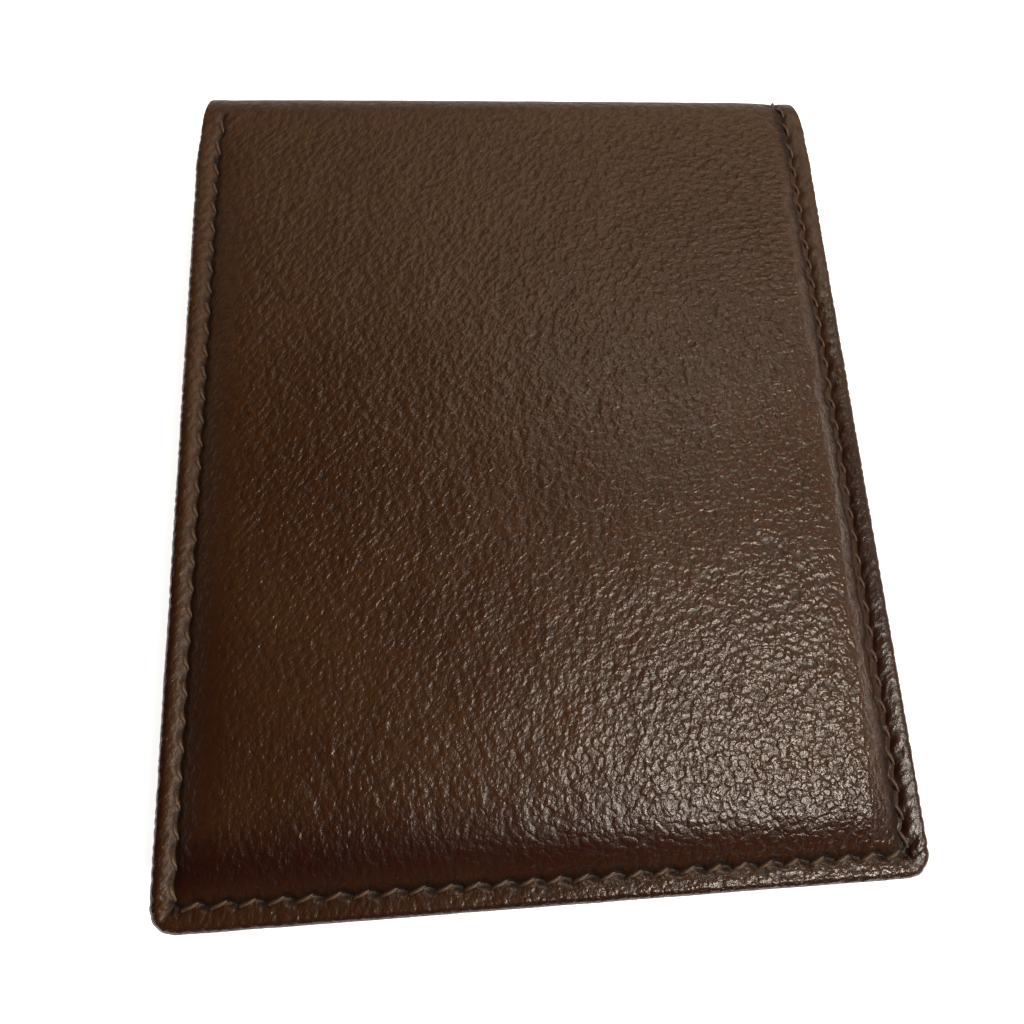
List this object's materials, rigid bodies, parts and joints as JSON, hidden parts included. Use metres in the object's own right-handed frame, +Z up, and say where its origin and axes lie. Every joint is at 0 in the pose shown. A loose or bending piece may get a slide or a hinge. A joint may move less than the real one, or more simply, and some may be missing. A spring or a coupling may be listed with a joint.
{
  "type": "bifold wallet",
  "caption": "Closed leather bifold wallet with padded pebbled covers, a sewn border, a note compartment and card pockets, opening flat about a rolled fold.",
  "frame": {"origin": "on the surface it lies on, under the middle of the closed wallet's box", "axes": "+X along the fold towards the open side of the note compartment, +Y from the free edges to the fold, +Z up, out of the front cover"},
  "size_m": [0.09, 0.111, 0.012],
  "materials": {
    "shell_leather": "pebbled, semi-gloss, dark brown",
    "inner_leather": "smooth, satin, dark brown",
    "lining_fabric": "fine woven twill, dark brown",
    "padding": "pressed fibre board, hidden",
    "thread": "waxed sewing thread, brown"
  },
  "bodies": {
    "back_half": {"back_cover_leather": "shell_leather", "back_cover_filler": "padding", "back_cover_lining": "lining_fabric", "back_note_divider": "lining_fabric", "back_card_backing": "inner_leather", "back_card_pocket_1": "inner_leather", "back_card_pocket_2": "inner_leather", "back_card_pocket_3": "inner_leather", "back_outer_seam": "thread", "back_panel_seam": "thread", "back_hem_seam": "thread", "back_gutter_seam": "thread"},
    "fold_1": {"fold_1_leather": "shell_leather", "fold_1_lining": "lining_fabric", "fold_1_outer_seam": "thread", "fold_1_hem_seam": "thread"},
    "fold_2": {"fold_2_leather": "shell_leather", "fold_2_lining": "lining_fabric", "fold_2_outer_seam": "thread", "fold_2_hem_seam": "thread"},
    "fold_3": {"fold_3_leather": "shell_leather", "fold_3_lining": "lining_fabric", "fold_3_outer_seam": "thread", "fold_3_hem_seam": "thread"},
    "front_half": {"front_cover_leather": "shell_leather", "front_cover_filler": "padding", "front_cover_lining": "lining_fabric", "front_note_divider": "lining_fabric", "front_card_backing": "inner_leather", "front_card_pocket_1": "inner_leather", "front_card_pocket_2": "inner_leather", "front_card_pocket_3": "inner_leather", "front_outer_seam": "thread", "front_panel_seam": "thread", "front_hem_seam": "thread", "front_gutter_seam": "thread"}
  },
  "joints": [
    {"name": "open", "type": "hinge", "parent": "back_half", "child": "fold_1", "pos_m": [0, 0.0518, 0.00046], "axis": [-1, 0, 0], "range_deg": [0, 45]},
    {"name": "open_2", "type": "hinge", "parent": "fold_1", "child": "fold_2", "pos_m": [0, 0.05504, 0.0037], "axis": [-1, 0, 0], "range_deg": [0, 45]},
    {"name": "open_3", "type": "hinge", "parent": "fold_2", "child": "fold_3", "pos_m": [0, 0.05504, 0.0083], "axis": [-1, 0, 0], "range_deg": [0, 45]},
    {"name": "open_4", "type": "hinge", "parent": "fold_3", "child": "front_half", "pos_m": [0, 0.0518, 0.01154], "axis": [-1, 0, 0], "range_deg": [0, 45]}
  ],
  "couplings": [
    {"joint": "open_2", "follows": "open", "ratio": 1},
    {"joint": "open_3", "follows": "open", "ratio": 1},
    {"joint": "open_4", "follows": "open", "ratio": 1}
  ]
}
